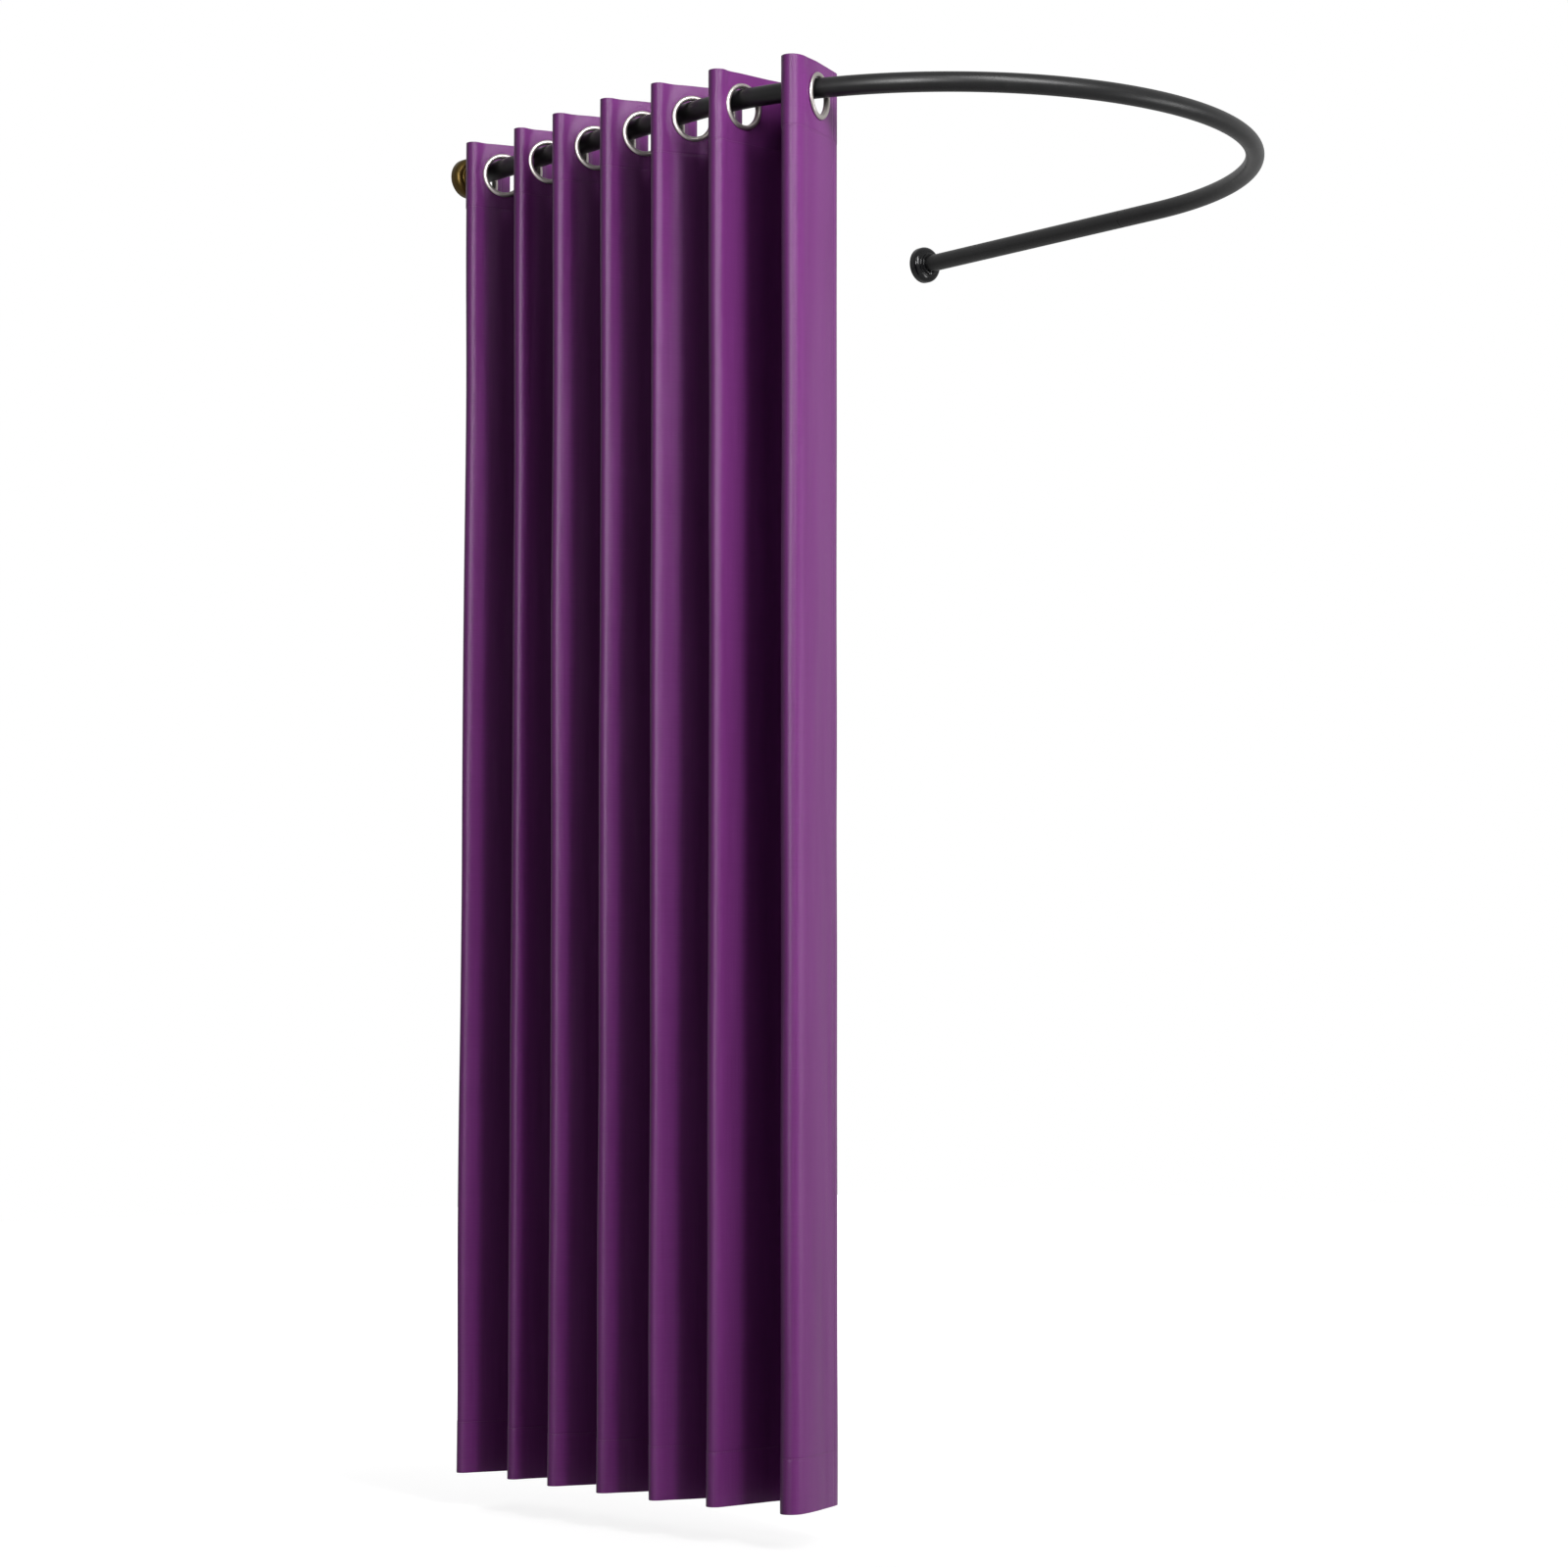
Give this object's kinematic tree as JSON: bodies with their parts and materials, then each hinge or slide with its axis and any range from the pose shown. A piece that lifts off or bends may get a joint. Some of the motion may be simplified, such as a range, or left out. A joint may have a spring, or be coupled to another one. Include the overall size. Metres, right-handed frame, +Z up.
{
  "type": "portable fitting room",
  "caption": "Wall-held U-shaped tube rail with round end cups and an eyelet curtain gathered in upright folds on one arm",
  "frame": {"origin": "middle of the left wall disc's back face, on the wall, level with the rail's axis", "axes": "+X along the wall from the left arm to the right arm, +Y into the wall, +Z up"},
  "size_m": [1.0316, 1.029, 1.98],
  "materials": {
    "curtain_fabric": "plain woven cloth, purple, slight sheen",
    "eyelet_nickel": "satin nickel plate",
    "rail_black": "satin black powder coat",
    "cup_black": "gloss black lacquer",
    "cup_bronze": "dark antique bronze",
    "fixing_steel": "zinc plated steel"
  },
  "bodies": {
    "rail": {"rail_bend": "rail_black", "rail_left_arm": "rail_black", "rail_right_arm": "rail_black", "rail_sleeve_left": "fixing_steel", "rail_sleeve_right": "fixing_steel", "rail_screw_left": "fixing_steel", "rail_screw_right": "fixing_steel", "wall_disc_left": "fixing_steel", "wall_disc_right": "fixing_steel", "wall_screw_left_lower": "fixing_steel", "wall_screw_left_upper": "fixing_steel", "wall_screw_right_lower": "fixing_steel", "wall_screw_right_upper": "fixing_steel", "wall_cup_left": "cup_bronze", "wall_cup_right": "cup_black", "cup_screw_left": "fixing_steel", "cup_screw_right": "fixing_steel"},
    "fold_01": {"curtain_panel_01": "curtain_fabric", "eyelet_front_01": "eyelet_nickel", "eyelet_back_01": "eyelet_nickel"},
    "fold_02": {"curtain_panel_02": "curtain_fabric", "eyelet_front_02": "eyelet_nickel", "eyelet_back_02": "eyelet_nickel"},
    "fold_03": {"curtain_panel_03": "curtain_fabric", "eyelet_front_03": "eyelet_nickel", "eyelet_back_03": "eyelet_nickel"},
    "fold_04": {"curtain_panel_04": "curtain_fabric", "eyelet_front_04": "eyelet_nickel", "eyelet_back_04": "eyelet_nickel"},
    "fold_05": {"curtain_panel_05": "curtain_fabric", "eyelet_front_05": "eyelet_nickel", "eyelet_back_05": "eyelet_nickel"},
    "fold_06": {"curtain_panel_06": "curtain_fabric", "eyelet_front_06": "eyelet_nickel", "eyelet_back_06": "eyelet_nickel"},
    "fold_07": {"curtain_panel_07": "curtain_fabric", "eyelet_front_07": "eyelet_nickel", "eyelet_back_07": "eyelet_nickel"},
    "fold_08": {"curtain_panel_08": "curtain_fabric", "eyelet_front_08": "eyelet_nickel", "eyelet_back_08": "eyelet_nickel"},
    "fold_09": {"curtain_panel_09": "curtain_fabric", "eyelet_front_09": "eyelet_nickel", "eyelet_back_09": "eyelet_nickel"},
    "fold_10": {"curtain_panel_10": "curtain_fabric", "eyelet_front_10": "eyelet_nickel", "eyelet_back_10": "eyelet_nickel"},
    "fold_11": {"curtain_panel_11": "curtain_fabric", "eyelet_front_11": "eyelet_nickel", "eyelet_back_11": "eyelet_nickel"},
    "fold_12": {"curtain_panel_12": "curtain_fabric", "eyelet_front_12": "eyelet_nickel", "eyelet_back_12": "eyelet_nickel"},
    "fold_13": {"curtain_panel_13": "curtain_fabric", "eyelet_front_13": "eyelet_nickel", "eyelet_back_13": "eyelet_nickel"},
    "fold_14": {"curtain_panel_14": "curtain_fabric", "eyelet_front_14": "eyelet_nickel", "eyelet_back_14": "eyelet_nickel"}
  },
  "joints": [
    {"name": "curtain_gather", "type": "hinge", "parent": "rail", "child": "fold_10", "pos_m": [0.00001, -0.54367, 0], "axis": [0, 0, 1], "range_deg": [0, 10.5]},
    {"name": "fold_09_turn", "type": "hinge", "parent": "fold_10", "child": "fold_09", "pos_m": [-0.0393, -0.5197, 0], "axis": [0, 0, 1], "range_deg": [-21.5, 0]},
    {"name": "fold_08_turn", "type": "hinge", "parent": "fold_09", "child": "fold_08", "pos_m": [0.0529, -0.4634, 0], "axis": [0, 0, 1], "range_deg": [0, 21.5]},
    {"name": "fold_07_turn", "type": "hinge", "parent": "fold_08", "child": "fold_07", "pos_m": [-0.0393, -0.4071, 0], "axis": [0, 0, 1], "range_deg": [-21.5, 0]},
    {"name": "fold_06_turn", "type": "hinge", "parent": "fold_07", "child": "fold_06", "pos_m": [0.0529, -0.3508, 0], "axis": [0, 0, 1], "range_deg": [0, 21.5]},
    {"name": "fold_05_turn", "type": "hinge", "parent": "fold_06", "child": "fold_05", "pos_m": [-0.0393, -0.2945, 0], "axis": [0, 0, 1], "range_deg": [-21.5, 0]},
    {"name": "fold_04_turn", "type": "hinge", "parent": "fold_05", "child": "fold_04", "pos_m": [0.0529, -0.2382, 0], "axis": [0, 0, 1], "range_deg": [0, 21.5]},
    {"name": "fold_03_turn", "type": "hinge", "parent": "fold_04", "child": "fold_03", "pos_m": [-0.0393, -0.1819, 0], "axis": [0, 0, 1], "range_deg": [-21.5, 0]},
    {"name": "fold_02_turn", "type": "hinge", "parent": "fold_03", "child": "fold_02", "pos_m": [0.0529, -0.1256, 0], "axis": [0, 0, 1], "range_deg": [0, 21.5]},
    {"name": "fold_01_turn", "type": "hinge", "parent": "fold_02", "child": "fold_01", "pos_m": [-0.0393, -0.0693, 0], "axis": [0, 0, 1], "range_deg": [-21.5, 0]},
    {"name": "fold_11_turn", "type": "hinge", "parent": "fold_10", "child": "fold_11", "pos_m": [0.04415, -0.57059, 0], "axis": [0, 0, 1], "range_deg": [-23.6, 0]},
    {"name": "fold_12_turn", "type": "hinge", "parent": "fold_11", "child": "fold_12", "pos_m": [-0.02506, -0.62764, 0], "axis": [0, 0, 1], "range_deg": [0, 20]},
    {"name": "fold_13_turn", "type": "hinge", "parent": "fold_12", "child": "fold_13", "pos_m": [0.07544, -0.66346, 0], "axis": [0, 0, 1], "range_deg": [-24.2, 0]},
    {"name": "fold_14_turn", "type": "hinge", "parent": "fold_13", "child": "fold_14", "pos_m": [0.01202, -0.75063, 0], "axis": [0, 0, 1], "range_deg": [0, 19.9]}
  ],
  "couplings": [
    {"joint": "fold_09_turn", "follows": "curtain_gather", "ratio": -2},
    {"joint": "fold_08_turn", "follows": "curtain_gather", "ratio": 2},
    {"joint": "fold_07_turn", "follows": "curtain_gather", "ratio": -2},
    {"joint": "fold_06_turn", "follows": "curtain_gather", "ratio": 2},
    {"joint": "fold_05_turn", "follows": "curtain_gather", "ratio": -2},
    {"joint": "fold_04_turn", "follows": "curtain_gather", "ratio": 2},
    {"joint": "fold_03_turn", "follows": "curtain_gather", "ratio": -2},
    {"joint": "fold_02_turn", "follows": "curtain_gather", "ratio": 2},
    {"joint": "fold_01_turn", "follows": "curtain_gather", "ratio": -2},
    {"joint": "fold_11_turn", "follows": "curtain_gather", "ratio": -2.2026},
    {"joint": "fold_12_turn", "follows": "curtain_gather", "ratio": 1.8555},
    {"joint": "fold_13_turn", "follows": "curtain_gather", "ratio": -2.2581},
    {"joint": "fold_14_turn", "follows": "curtain_gather", "ratio": 1.845}
  ]
}
